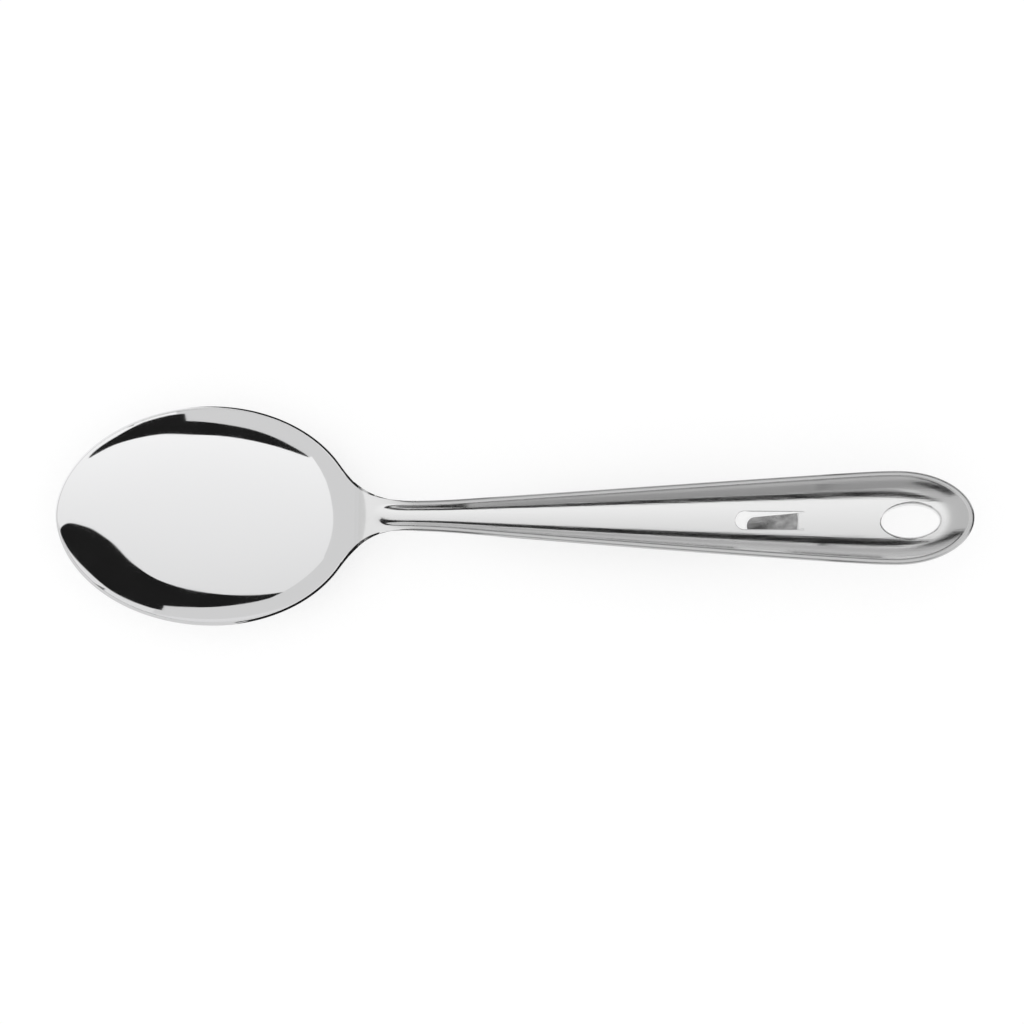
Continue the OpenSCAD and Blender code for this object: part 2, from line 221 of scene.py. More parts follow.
def face_z(x, y):
    """Height of the upper face: the bowl's inside, rounded over into the neck and handle."""
    return soft_min(dish_z(x, y), deck_z(x) - channel_depth(x, y), NECK_ROUND)


def back_z(x, y):
    """Height of the lower face, a sheet's thickness away square to the surface."""
    gx = (face_z(x + TINY, y) - face_z(x - TINY, y)) / (2 * TINY)
    gy = (face_z(x, y + TINY) - face_z(x, y - TINY)) / (2 * TINY)
    return face_z(x, y) - SHEET_T * np.sqrt(1 + gx * gx + gy * gy)


def lip_part(x):
    """How far the lip has formed: 0 near the weld and 1 from the narrowest place of the neck."""
    return smooth(x, LIP_X, NECK_X)


# The tongue: a strip of the sheet that leaves the slot's end and bends down
def tongue_line():
    """Middle line of the tongue as lengths, points and angles, from its root to its tip."""
    x = SLOT_X + EDGE_R
    slope = float(face_z(x + TINY, 0.0) - face_z(x - TINY, 0.0)) / (2 * TINY)
    root = math.atan(slope)
    knots = np.cumsum([0, EDGE_R, TONGUE_R * TONGUE_FALL, TONGUE_LEN])
    angles = root + np.array([0, 0, TONGUE_FALL, TONGUE_FALL])
    s = np.linspace(0, knots[-1], LINE_STEPS)
    a = np.interp(s, knots, angles)
    step = np.diff(s, prepend=0)
    sag = float(face_z(x, TONGUE_HALF) - face_z(x, 0.0))
    px = x - np.cumsum(step * np.cos(a))
    pz = float(face_z(x, 0.0)) - SHEET_T / 2 + sag / 2 - np.cumsum(step * np.sin(a))
    return s, px, pz, a


TONGUE_S, TONGUE_PX, TONGUE_PZ, TONGUE_A = tongue_line()


# How the spoon lies: tilted until the belly of the bowl and the lowest place of the handle are level
def resting():
    """Tilt about y, and the height and middle of the tilted spoon, in millimetres."""
    belly_x = np.linspace(WIDEST_X, BOWL_STOP, REST_STEPS)
    belly_z = back_z(belly_x, 0 * belly_x)
    end_x = np.linspace(HIP_X, TOTAL_LEN, REST_STEPS)
    heel_x = np.concatenate([end_x, TONGUE_PX + TONGUE_T / 2 * np.sin(TONGUE_A)])
    heel_z = np.concatenate([deck_z(end_x) - LIP_H, TONGUE_PZ - TONGUE_T / 2 * np.cos(TONGUE_A)])
    low = math.radians(-10)
    high = math.radians(30)
    for _ in range(REST_HALVINGS):
        a = (low + high) / 2
        heel = (heel_z * math.cos(a) - heel_x * math.sin(a)).min()
        belly = (belly_z * math.cos(a) - belly_x * math.sin(a)).min()
        low, high = (a, high) if heel > belly else (low, a)
    tips_x = np.array([0.0, RIM_RUN, TOTAL_LEN, TOTAL_LEN])
    tip_z = deck_z(TOTAL_LEN)
    tips_z = np.array([back_z(0.0, 0.0), face_z(RIM_RUN, 0.0), tip_z - LIP_H / 2, tip_z - LIP_H])
    ahead = tips_x * math.cos(a) + tips_z * math.sin(a)
    return a, belly, (ahead.min() + ahead.max()) / 2


REST, REST_Z, REST_X = resting()


def to_rest(points):
    """Design millimetres to metres in the shared frame."""
    x, y, z = np.moveaxis(np.asarray(points, float), -1, 0)
    ahead = x * math.cos(REST) + z * math.sin(REST) - REST_X
    up = z * math.cos(REST) - x * math.sin(REST) - REST_Z
    return np.stack([ahead, y, up], axis=-1) * MM


# Meshes: half of each piece is built, from the middle plane to y above 0, and then mirrored
MERGE_M = 1e-6
FLAT_M = 1e-7
SHARP = math.radians(40)
# Name of the share that dulls the handle's finish and darkens its colour, the darkening being painted shade
DULL_AND_SHADE_NAME = "dull_and_shade"


class Skin:
    """Points and quads of half a piece, and at each point a share from 0 to 1 that makes its finish duller
    and, as painted shade, its colour darker.
    """

    def __init__(self):
        self.points = []
        self.faces = []
        self.dull_and_shade = []

    def add(self, points, dull_and_shade=0.0):
        """Add an array of points and give back their numbers in the same layout."""
        points = np.asarray(points, float)
        first = len(self.points)
        self.points.extend(points.reshape(-1, 3))
        self.dull_and_shade.extend(np.broadcast_to(dull_and_shade, points.shape[:-1]).reshape(-1))
        return first + np.arange(points.size // 3).reshape(points.shape[:-1])

    def bridge(self, rows):
        """Quads between neighbouring rows of point numbers."""
        for near, far in zip(rows[:-1], rows[1:]):
            for k in range(len(near) - 1):
                self.faces.append((near[k], near[k + 1], far[k + 1], far[k]))


def on(x, y, z):
    """Points from coordinates that are arrays or single numbers."""
    return np.stack(np.broadcast_arrays(x, y, z), axis=-1)


def rounded(before, corner, after, steps):
    """Rows of points round a corner, from one row to another."""
    t = np.linspace(0, 1, steps + 1)[:, None, None]
    return (1 - t)**2 * before + 2 * t * (1 - t) * corner + t * t * after


def add_object(name, data):
    obj = bpy.data.objects.new(name, data)
    scene.collection.objects.link(obj)
    return obj


def make_piece(name, skin, node, material):
    """Mirror half a piece, close it, and put it in its node's place."""
    half = to_rest(skin.points)
    n = len(half)
    points = np.concatenate([half, half * (1, -1, 1)])
    faces = skin.faces + [tuple(n + k for k in reversed(f)) for f in skin.faces]
    mesh = bpy.data.meshes.new(name)
    mesh.from_pydata(points.tolist(), [], [tuple(map(int, f)) for f in faces])
    dull_and_shade_layer = mesh.attributes.new(DULL_AND_SHADE_NAME, "FLOAT", "POINT")
    dull_and_shade_layer.data.foreach_set("value", np.array(skin.dull_and_shade * 2, np.float32))
    bm = bmesh.new()
    bm.from_mesh(mesh)
    bmesh.ops.remove_doubles(bm, verts=bm.verts, dist=MERGE_M)
    bmesh.ops.dissolve_degenerate(bm, edges=bm.edges, dist=FLAT_M)
    bmesh.ops.recalc_face_normals(bm, faces=bm.faces)
    bm.to_mesh(mesh)
    bm.free()
    mesh.shade_smooth()
    mesh.set_sharp_from_angle(angle=SHARP)
    mesh.materials.append(material)
    piece = add_object(name, mesh)
    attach(piece, "root")
    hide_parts(node)


# The bowl: rings from its widest place out to the rim, over the bare edge and back underneath
FRONT_STEPS = 80
BACK_STEPS = 60
SHOULDER_STEPS = 16
SEAM_STEPS = 14
RING_STEPS = 72
ROUND_STEPS = 4


def bowl_border(inset):
    """Half outline from the bowl's tip to the middle of the weld, drawn in from the rim."""
    t = np.radians(np.linspace(180, 90, FRONT_STEPS, endpoint=False))
    front = on(WIDEST_X + (BOWL_FRONT - inset) * np.cos(t),
               (BOWL_W / 2 - inset) * np.abs(np.sin(t))**BOWL_POINT, 0)
    front[0, 1] = 0
    t = np.linspace(math.pi / 2, math.acos(SHOULDER_U), BACK_STEPS)
    back = on(WIDEST_X + (BOWL_BACK - inset) * np.cos(t), (BOWL_W / 2 - inset) * np.sin(t), 0)
    x = np.linspace(SHOULDER_X, BOWL_STOP, SHOULDER_STEPS + 1)[1:]
    shoulder = on(x, half_w(x) - edge_run(x) * inset / RIM_RUN, 0)
    share = np.linspace(1, 0, SEAM_STEPS + 1)[1:]
    seam = on(BOWL_STOP, shoulder[-1, 1] * share, 0)
    return np.concatenate([front, back, shoulder, seam])


def build_bowl(material):
    skin = Skin()
    inner = bowl_border(RIM_RUN)
    outer = bowl_border(0)
    middle = np.array([WIDEST_X, 0, 0])
    count = len(inner)
    border = count - SEAM_STEPS
    turn = EDGE_R * np.clip((border - np.arange(count)) / SHOULDER_STEPS, 0, 1)[:, None]
    share = np.sin(np.linspace(0, math.pi / 2, RING_STEPS + 1))

    def rings(edge, height):
        reach = 1 - turn / np.linalg.norm(edge - middle, axis=1, keepdims=True)
        plan = middle + share[:, None, None] * reach * (edge - middle)
        return on(plan[..., 0], plan[..., 1], height(plan[..., 0], plan[..., 1]))

    top = rings(inner, face_z)
    under = rings(outer, back_z)[::-1]
    upper = on(inner[:, 0], inner[:, 1], face_z(inner[:, 0], inner[:, 1]))
    lower = on(outer[:, 0], outer[:, 1], back_z(outer[:, 0], outer[:, 1]))
    across = (lower - upper) / np.linalg.norm(lower - upper, axis=1, keepdims=True)
    crest = rounded(top[-1], upper, upper + across * turn, ROUND_STEPS)
    foot = rounded(lower - across * turn, lower, under[0], ROUND_STEPS)
    skin.bridge(skin.add(np.concatenate([top, crest[1:], foot, under[1:]])))
    make_piece("polished_bowl", skin, "bowl", material)


# The weld: a thin strip across the neck, dressed almost flush
WELD_STEPS = 8
BEAD_FADE = 4


def build_weld(material):
    skin = Skin()
    x = np.linspace(BOWL_STOP, HANDLE_START, WELD_STEPS + 1)[:, None]
    share = np.linspace(0, 1, SEAM_STEPS + 1)[None, :]
    bead = WELD_PROUD * (1 - ((x - SEAM_X) / (WELD_W / 2))**2) * (1 - share**BEAD_FADE)
    y_in = (half_w(x) - edge_run(x)) * share
    y_out = (half_w(x) * share)[:, ::-1]
    top = skin.add(on(x, y_in, face_z(x, y_in) + bead))
    under = skin.add(on(x, y_out, back_z(x, y_out) - bead[:, ::-1]))
    skin.bridge(np.concatenate([top, under], axis=1))
    for end in (0, -1):
        skin.bridge([top[end], under[end][::-1]])
    make_piece("dressed_weld", skin, "neck_weld", material)


# The handle: stations go from the middle of the sheet, its slot and its hole out to the lip
NECK_STEPS = 70
SIDE_STEPS = 90
SLOT_ROUND_STEPS = 16
SLOT_STEPS = 26
NOTCH_STEPS = 3
HINGE_STEPS = 12
BRIDGE_STEPS = 24
HOLE_STEPS = 72
CHANNEL_STEPS = 34
LIP_STEPS = 8
COLLAR_STEPS = 3

# How the stations spread along the outline: past the tongue's root, before the hole and round the end
HINGE_FAN = 5.0
HOLE_LEAD = 2.0
TIP_RUN = 31.0

# How the rows crowd towards the lip, and where across the channel its finish turns duller and its colour
# darker, and by how much; the darker colour is painted shade
CHANNEL_CROWD = 1.7
DULL_AND_SHADE_FROM = 0.66
DULL_AND_SHADE_TO = 0.76
CHANNEL_DULL_AND_SHADE = 0.7


def slot_path(grow):
    """Edge of the slot, from its round end to the side of the tongue's root."""
    r = SLOT_W / 2 + grow
    t = np.radians(np.linspace(180, 90, SLOT_ROUND_STEPS + 1))
    end = on(SLOT_END + SLOT_W / 2 + r * np.cos(t), r * np.sin(t), 0)
    end[0, 1] = 0
    x = np.linspace(SLOT_END + SLOT_W / 2, SLOT_X + grow, SLOT_STEPS + 1)[1:]
    side = on(x, r, 0)
    y = np.linspace(r, TONGUE_HALF - grow, NOTCH_STEPS + 1)[1:]
    notch = on(SLOT_X + grow, y, 0)
    return np.concatenate([end, side, notch])


def hole_path(grow):
    """Half of the hanging hole's oval, from its near end to its far end."""
    t = np.radians(np.linspace(180, 0, HOLE_STEPS + 1))
    oval = on(HOLE_X + (HOLE_LEN / 2 + grow) * np.cos(t), (HOLE_W / 2 + grow) * np.sin(t), 0)
    oval[[0, -1], 1] = 0
    return oval


def inner_path(hole_grow):
    """Inner ends of the stations, along the middle line, the slot, the tongue's root and the hole."""
    slot = slot_path(EDGE_R)
    hole = hole_path(hole_grow)
    neck = np.linspace(HANDLE_START, NECK_X, NECK_STEPS, endpoint=False)
    side = np.linspace(NECK_X, slot[0, 0], SIDE_STEPS, endpoint=False)
    hinge = np.linspace(slot[-1, 1], 0, HINGE_STEPS + 1)[1:]
    bridge = np.linspace(slot[-1, 0], hole[0, 0], BRIDGE_STEPS + 1)[1:-1]
    return np.concatenate([
        on(np.concatenate([neck, side]), 0, 0), slot, on(slot[-1, 0], hinge, 0), on(bridge, 0, 0), hole])


SLOT_FIRST = NECK_STEPS + SIDE_STEPS
SLOT_LAST = SLOT_FIRST + SLOT_ROUND_STEPS + SLOT_STEPS + NOTCH_STEPS
HINGE_LAST = SLOT_LAST + HINGE_STEPS
HOLE_FIRST = HINGE_LAST + BRIDGE_STEPS


def outer_places(inner):
    """Where each station meets the outline: its place along the side, and its angle on the rounded end."""
    square = SLOT_LAST - NOTCH_STEPS
    root = inner[square, 0]
    last = len(inner) - 1
    side = END_X - root
    run = np.interp(
        np.arange(square, last + 1),
        [square, HINGE_LAST, HOLE_FIRST, last],
        [0, HINGE_FAN, inner[HOLE_FIRST, 0] - HOLE_LEAD - root, side + TIP_RUN])
    x = np.concatenate([inner[:square, 0], np.minimum(root + run, END_X)])
    angle = np.full(len(inner), math.pi / 2)
    angle[square:] *= 1 - np.maximum(run - side, 0) / TIP_RUN
    angle[-1] = 0
    return x, angle


def lip_plan(x, angle, q, slanted):
    """Plan of the lip: q is 0 where the channel ends and 1 at the outer edge."""
    w = half_w(x) - (edge_run(x) if slanted else 0)
    c = half_w(x) - LIP_W
    ahead = np.cos(angle) * (END_RUN - LIP_W + q * LIP_W)
    out = np.where(x < END_X, c + q * (w - c), (HANDLE_W / 2 - LIP_W + q * LIP_W) * np.sin(angle))
    return x + np.where(x < END_X, 0, ahead), out


def channel_rows(inner, brow, height):
    """Rows from the inner ends to the lip, closer together near the lip."""
    share = 1 - (1 - np.linspace(0, 1, CHANNEL_STEPS + 1)[:, None])**CHANNEL_CROWD
    x = inner[:, 0] + share * (brow[0] - inner[:, 0])
    y = inner[:, 1] + share * (brow[1] - inner[:, 1])
    return on(x, y, height(x, y))


def lip_under(x, angle, q):
    """A row of points on the lip's underside, which runs into the sheet's lower face."""
    px, py = lip_plan(x, angle, q, False)
    part = lip_part(px) * min(q / LIP_FLAT, 1)
    return on(px, py, back_z(px, py) * (1 - part) + (face_z(px, py) - LIP_H) * part)


def lip_rows(x, angle):
    """Rows over the lip, from the channel out, down the edge and back underneath to the channel."""
    part = lip_part(x)
    rows = []
    for q in np.linspace(0, LIP_FLAT, LIP_STEPS + 1)[1:]:
        px, py = lip_plan(x, angle, q, True)
        rows.append(on(px, py, face_z(px, py)))
    for a in np.radians(np.linspace(0, 90, LIP_STEPS + 1)[1:]):
        px, py = lip_plan(x, angle, LIP_FLAT + (1 - LIP_FLAT) * math.sin(a), True)
        rows.append(on(px, py, face_z(px, py) - part * LIP_H / 2 * (1 - math.cos(a))))
    px, py = lip_plan(x, angle, 1, False)
    low = back_z(px, py) * (1 - part) + (face_z(px, py) - LIP_H) * part
    corner = on(px, py, low)
    lift = np.minimum(LIP_R, (rows[-1][:, 2] - low) / 2)
    wall_foot = on(px, py, low + lift)
    rows.append(wall_foot)
    turn = lip_under(x, angle, 1 - LIP_R / LIP_W)
    rows.extend(rounded(wall_foot, corner, turn, ROUND_STEPS)[1:])
    for q in np.linspace(1 - LIP_R / LIP_W, 0, LIP_STEPS + 1)[1:-1]:
        rows.append(lip_under(x, angle, q))
    return np.array(rows)


# The tongue and the hole's collar, which carry on from the handle's rows
TONGUE_STEPS = 60
TONGUE_TIP_STEPS = 14
TURNS = np.radians(np.linspace(0, 90, ROUND_STEPS + 1)[1:])


def tongue_point(s, y, height):
    """A point at a length along the tongue, beside its middle and above its middle line."""
    a = np.interp(s, TONGUE_S, TONGUE_A)
    root = SLOT_X + EDGE_R
    sag = face_z(root, y) - (face_z(root, 0 * y) + face_z(root, 0 * y + TONGUE_HALF)) / 2
    thin = (SHEET_T - TONGUE_T) / 2 * np.sign(height)
    up = height + (sag + thin) * (1 - smooth(s, 0, TONGUE_S[-1] / 4))
    x = np.interp(s, TONGUE_S, TONGUE_PX) - up * np.sin(a)
    return on(x, y, np.interp(s, TONGUE_S, TONGUE_PZ) + up * np.cos(a))


def tongue_plan(grow):
    """Lengths and half widths along the tongue, drawn in by the rounded edge, with a rounded tip."""
    half = TONGUE_HALF - grow
    start = TONGUE_S[-1] - TONGUE_HALF
    s = np.linspace(0, start, TONGUE_STEPS + 1)[1:]
    t = np.linspace(0, math.pi / 2, TONGUE_TIP_STEPS + 1)[1:]
    width = np.concatenate([np.full(TONGUE_STEPS, half), half * np.cos(t)])
    width[-1] = 0
    return np.concatenate([s, start + half * np.sin(t)]), width


def add_tongue(skin, top_row, under_row):
    """The tongue's two faces, and the rounded cut edge that runs along the slot and on round the tongue."""
    share = np.linspace(1, 0, HINGE_STEPS + 1)
    upper = [top_row[SLOT_LAST:HINGE_LAST + 1]]
    lower = [under_row[SLOT_LAST:HINGE_LAST + 1]]
    for length, width in zip(*tongue_plan(EDGE_R)):
        upper.append(skin.add(tongue_point(length, width * share, TONGUE_T / 2)))
        lower.append(skin.add(tongue_point(length, width * share, -TONGUE_T / 2)))
    skin.bridge(upper)
    skin.bridge(lower)

    loop = [np.concatenate([top_row[SLOT_FIRST:SLOT_LAST + 1], [row[0] for row in upper[1:]]])]
    for side, height in ((1, face_z), (-1, back_z)):
        for a in TURNS[::side]:
            grow = EDGE_R * (1 - math.sin(a))
            sink = EDGE_R * (1 - math.cos(a))
            slot = slot_path(grow)
            s, half = tongue_plan(grow)
            slot[:, 2] = height(slot[:, 0], slot[:, 1]) - side * sink
            edge = tongue_point(s, half, side * (TONGUE_T / 2 - sink))
            loop.append(skin.add(np.concatenate([slot, edge])))
    loop.append(np.concatenate([under_row[SLOT_FIRST:SLOT_LAST + 1], [row[0] for row in lower[1:]]]))
    skin.bridge(loop)


def add_collar(skin, top_row, under_row):
    """The hole's rolled edge and the collar that is turned down under it."""
    deep = SHEET_T + COLLAR_H
    section = [(HOLE_ROLL * (1 - math.sin(a)), HOLE_ROLL * (1 - math.cos(a)))
               for a in np.radians(np.linspace(0, 90, 2 * ROUND_STEPS + 1)[1:])]
    section += [(0, d) for d in np.linspace(HOLE_ROLL, deep - EDGE_R, COLLAR_STEPS + 1)[1:]]
    section += [(EDGE_R * (1 - math.cos(a)), deep - EDGE_R * (1 - math.sin(a))) for a in TURNS]
    section += [(COLLAR_T - EDGE_R * (1 - math.sin(a)), deep - EDGE_R * (1 - math.cos(a))) for a in TURNS]
    ring = [top_row[HOLE_FIRST:]]
    for grow, sink in section:
        oval = hole_path(grow)
        oval[:, 2] = face_z(oval[:, 0], oval[:, 1]) - sink
        ring.append(skin.add(oval))
    ring.append(under_row[HOLE_FIRST:])
    skin.bridge(ring)


def build_handle(material):
    skin = Skin()
    inner = inner_path(HOLE_ROLL)
    x, angle = outer_places(inner)
    top = channel_rows(inner, lip_plan(x, angle, 0, True), face_z)
    lips = lip_rows(x, angle)
    under = channel_rows(inner_path(COLLAR_T), lip_plan(x, angle, 0, False), back_z)[::-1]
    # The share that dulls the outer channel and the lips and darkens their colour; the darkening is painted
    # shade
    outer = smooth(channel_share(top[..., 0], top[..., 1]), DULL_AND_SHADE_FROM, DULL_AND_SHADE_TO)
    dull_and_shade = np.concatenate([
        CHANNEL_DULL_AND_SHADE * outer * lip_part(top[..., 0]), lip_part(lips[..., 0]), np.zeros(under.shape[:-1])])
    rows = skin.add(np.concatenate([top, lips, under]), dull_and_shade)
    skin.bridge(rows)
    half = len(rows) // 2
    skin.bridge([rows[:half, 0], rows[::-1][:half, 0]])
    add_tongue(skin, rows[0], rows[-1])
    add_collar(skin, rows[0], rows[-1])
    make_piece("satin_handle", skin, "handle", material)


# Materials
NOISE_LOW = 0.3
NOISE_HIGH = 0.7
COARSE_POWER = 5


def new_metal(name):
    """A metal, with its nodes, its links and its shader."""
    material = bpy.data.materials.new(name)
    material.use_nodes = True
    nodes = material.node_tree.nodes
    shader = nodes["Principled BSDF"]
    shader.inputs["Metallic"].default_value = 1
    return material, nodes, material.node_tree.links, shader


def feed(links, value, socket):
    """Set a socket to a number, or link another node's output to it."""
    if isinstance(value, (int, float)):
        socket.default_value = value
    else:
        links.new(value, socket)


def reckoned(nodes, links, operation, *values):
    """The result of a sum: each value is a number or another node's output."""
    node = nodes.new("ShaderNodeMath")
    node.operation = operation
    for value, socket in zip(values, node.inputs):
        feed(links, value, socket)
    return node.outputs["Value"]


def between(nodes, links, share, low, high):
    """A number that goes from one to the other: each is a number or another node's output."""
    node = nodes.new("ShaderNodeMix")
    for value, name in ((share, "Factor"), (low, "A"), (high, "B")):
        feed(links, value, node.inputs[name])
    return node.outputs["Result"]


def grain(nodes, links, scale, detail):
    """Noise over the piece, with a scale of its own along each axis."""
    place = nodes.new("ShaderNodeTexCoord")
    mapping = nodes.new("ShaderNodeMapping")
    mapping.inputs["Scale"].default_value = scale
    links.new(place.outputs["Object"], mapping.inputs["Vector"])
    texture = nodes.new("ShaderNodeTexNoise")
    texture.inputs["Scale"].default_value = 1
    texture.inputs["Detail"].default_value = detail
    links.new(mapping.outputs["Vector"], texture.inputs["Vector"])
    return texture.outputs["Fac"]


def mapped(nodes, links, value, low, high):
    """Noise brought to the range that a finish needs."""
    span = nodes.new("ShaderNodeMapRange")
    span.inputs["From Min"].default_value = NOISE_LOW
    span.inputs["From Max"].default_value = NOISE_HIGH
    span.inputs["To Min"].default_value = low
    span.inputs["To Max"].default_value = high
    links.new(value, span.inputs["Value"])
    return span.outputs["Result"]


def bump(nodes, links, height, distance, strength):
    node = nodes.new("ShaderNodeBump")
    node.inputs["Distance"].default_value = distance
    node.inputs["Strength"].default_value = strength
    links.new(height, node.inputs["Height"])
    return node.outputs["Normal"]


def polished_steel():
    """Mirror finish with faint haze and the slight unevenness of a pressed and buffed sheet."""
    material, nodes, links, shader = new_metal("polished_steel")
    shader.inputs["Base Color"].default_value = (0.87, 0.87, 0.875, 1)
    haze = grain(nodes, links, scale=(90, 90, 90), detail=4)
    links.new(mapped(nodes, links, haze, low=0.03, high=0.07), shader.inputs["Roughness"])
    wave = grain(nodes, links, scale=(60, 60, 60), detail=1)
    links.new(bump(nodes, links, wave, distance=0.00004, strength=0.5), shader.inputs["Normal"])
    return material


def on_tongue(nodes, links):
    """1 on the pressed-out tongue and 0 on the rest of the handle."""
    place = nodes.new("ShaderNodeTexCoord")
    parts = nodes.new("ShaderNodeSeparateXYZ")
    links.new(place.outputs["Object"], parts.inputs["Vector"])
    x, y, z = parts.outputs
    root = to_rest((SLOT_X, 0, float(face_z(SLOT_X, 0.0))))
    limits = [
        (reckoned(nodes, links, "ABSOLUTE", y), "LESS_THAN", SLOT_W / 2 * MM),
        (z, "LESS_THAN", root[2] - SHEET_T / 2 * MM),
        (x, "LESS_THAN", root[0]),
        (x, "GREATER_THAN", root[0] - SLOT_LEN * MM),
    ]
    inside = 1
    for value, operation, limit in limits:
        passed = reckoned(nodes, links, operation, value, limit)
        inside = reckoned(nodes, links, "MULTIPLY", inside, passed)
    return inside


def satin_steel():
    """Fine brushing along the handle, duller towards its lips, where a darker colour is painted shade, and
    a tongue that is not brushed, whose dark mottled colour is painted shade.
    """
    material, nodes, links, shader = new_metal("satin_steel")
    tongue = on_tongue(nodes, links)
    dull_and_shade_layer = nodes.new("ShaderNodeAttribute")
    dull_and_shade_layer.attribute_name = DULL_AND_SHADE_NAME
    dull_and_shade = dull_and_shade_layer.outputs["Fac"]
    mottle = grain(nodes, links, scale=(220, 420, 220), detail=2)
    # Dark mottled base colour of the tongue: painted shade under the slot, with a random mottle
    painted_tongue_shade = mapped(nodes, links, mottle, low=0.28, high=0.55)
    # Base colour darker towards the lips and the outer channel: painted shade
    sheet_colour_with_painted_shade = between(nodes, links, dull_and_shade, low=0.83, high=0.58)
    links.new(between(nodes, links, tongue, low=sheet_colour_with_painted_shade, high=painted_tongue_shade), shader.inputs["Base Color"])
    streaks = grain(nodes, links, scale=(90, 1600, 400), detail=3)
    gloss = mapped(nodes, links, streaks, low=0.1, high=0.2)
    coarse = reckoned(nodes, links, "POWER", dull_and_shade, COARSE_POWER)
    brushed = between(nodes, links, coarse, low=gloss, high=0.34)
    links.new(between(nodes, links, tongue, low=brushed, high=0.2), shader.inputs["Roughness"])
    links.new(bump(nodes, links, streaks, distance=0.00006, strength=0.35), shader.inputs["Normal"])
    return material


def dressed_steel():
    """The weld, ground and buffed across the neck."""
    material, nodes, links, shader = new_metal("dressed_steel")
    shader.inputs["Base Color"].default_value = (0.85, 0.85, 0.855, 1)
    marks = grain(nodes, links, scale=(2200, 260, 400), detail=2)
    links.new(mapped(nodes, links, marks, low=0.06, high=0.14), shader.inputs["Roughness"])
    return material


build_bowl(polished_steel())
build_handle(satin_steel())
build_weld(dressed_steel())

# Studio: a pale surround, a white floor, and dark and grey cards that only show in reflections
DARK = 0.012
GREY = 0.70
SLATE = 0.42
DIM_SLATE = 0.21


def bare_material(name):
    """A material with nothing but its output: gives its nodes, its links and the output's socket too."""
    material = bpy.data.materials.new(name)
    material.use_nodes = True
    nodes = material.node_tree.nodes
    nodes.clear()
    output = nodes.new("ShaderNodeOutputMaterial")
    return material, nodes, material.node_tree.links, output.inputs["Surface"]


def emitter(name, level):
    material, nodes, links, surface = bare_material(name)
    light = nodes.new("ShaderNodeEmission")
    light.inputs["Color"].default_value = (level, level, level, 1)
    links.new(light.outputs["Emission"], surface)
    return material


def card(name, corners, level, faces=()):
    """A card seen only in reflections: one flat face or a strip of faces, with corners in millimetres."""
    mesh = bpy.data.meshes.new(name)
    mesh.from_pydata(to_rest(corners).tolist(), [], faces or [tuple(range(len(corners)))])
    mesh.materials.append(emitter(name, level))
    obj = add_object(name, mesh)
    obj.visible_camera = False
    obj.visible_diffuse = False
    obj.visible_transmission = False
    obj.visible_shadow = False


# Far cards, which the bowl and the handle show alike: each corner is a run and a rise over the distance
CARD_FAR = 3500.0
GREY_FAR = 1.01 * CARD_FAR
CARD_LOW = -0.05


def on_y(side, far, corners):
    """Corners of a card across y, in front of the bowl or behind it, with their runs along x."""
    return [(WIDEST_X + run * far, side * far, rise * far) for run, rise in corners]


def on_x(far, corners):
    """Corners of a card across x, beyond the bowl's tip, with their runs along y."""
    return [(WIDEST_X - far, run * far, rise * far) for run, rise in corners]


def curve(knots, steps=6):
    """Points on a smooth line through the knots."""
    ends = np.array([knots[0], *knots, knots[-1]], float)
    t = np.linspace(0, 1, steps, endpoint=False)[:, None]
    points = []
    for a, b, c, d in zip(ends, ends[1:], ends[2:], ends[3:]):
        points.extend(b + t / 2 * (c - a + t * (2 * a - 5 * b + 4 * c - d + t * (3 * b - a - 3 * c + d))))
    return points + [ends[-1]]


back_outer = curve([
    (-0.48, 0.42), (-0.18, 0.65), (0.01, 0.77), (0.19, 0.9), (0.33, 1.03), (0.55, 1.31), (1.14, 2.02),
    (2.1, 2.51), (2.96, 2.16), (2.49, 1.27), (1.5, 0.72), (0.81, 0.43), (0.44, 0.21), (0.22, 0.13)])
back_step = [(0.17, 0.13), (0.17, 0.27)]
back_inner = curve([(0.06, 0.32), (-0.16, 0.37), (-0.37, 0.37)])
card("back_flag", on_y(1, CARD_FAR, back_outer + back_step + back_inner), DARK)
card("back_grey", on_y(1, GREY_FAR, [
    (0.2, CARD_LOW), (0.2, 0.3), (-0.16, 0.4), (-0.37, 0.4), (-0.48, 0.42), (-1.2, 0.8),
    (-1.2, CARD_LOW)]), GREY)
front_outer = curve([
    (0.68, 0.59), (1.1, 0.8), (1.34, 0.97), (1.2, 0.95), (0.77, 0.84), (0.37, 0.86), (0.2, 0.95),
    (0.08, 1.02), (-0.15, 1.08), (-0.63, 1.16), (-1.26, 1.15), (-0.79, 0.92), (-0.43, 0.76),
    (-0.12, 0.66), (0.125, 0.55)])
front_step = [(0.125, 0.36), (0.21, 0.36), (0.4, 0.42)]
card("front_flag", on_y(-1, CARD_FAR, front_outer + front_step), DARK)
card("front_grey", on_y(-1, GREY_FAR, [
    (0.17, CARD_LOW), (0.17, 0.55), (-0.7, 0.9), (-1.28, 1.16), (-1.28, CARD_LOW)]), GREY)
card("side_grey", on_x(CARD_FAR, [
    (-0.84, CARD_LOW), (-0.84, 0.82), (0, 0.81), (0.84, 0.7), (0.84, CARD_LOW)]), GREY)

# Low cards close by: beside the neck and the handle, under it, past its end, and round the bowl's back
LOW_Z = -12.0
FLAT_Z = -11.0
SLATE_X = (160, 400)
SLATE_Y = 250
FRONT_SLATE_TOP = 122
BACK_SLATE_TOP = 55
UNDER_X = (150, 232)
UNDER_HALF = 14
PATCH_X = (90, 114)
PATCH_Y = (9, 75)
FIN_X = (259, 265)
FIN_Y = (32, 105)
FIN_TOP = 27
TIP_X = 335
TIP_HALF = 16
TIP_TOP = 35
FENCE_STEPS = 30
FENCE_REACH = 2.0
FENCE_TAPER = 25


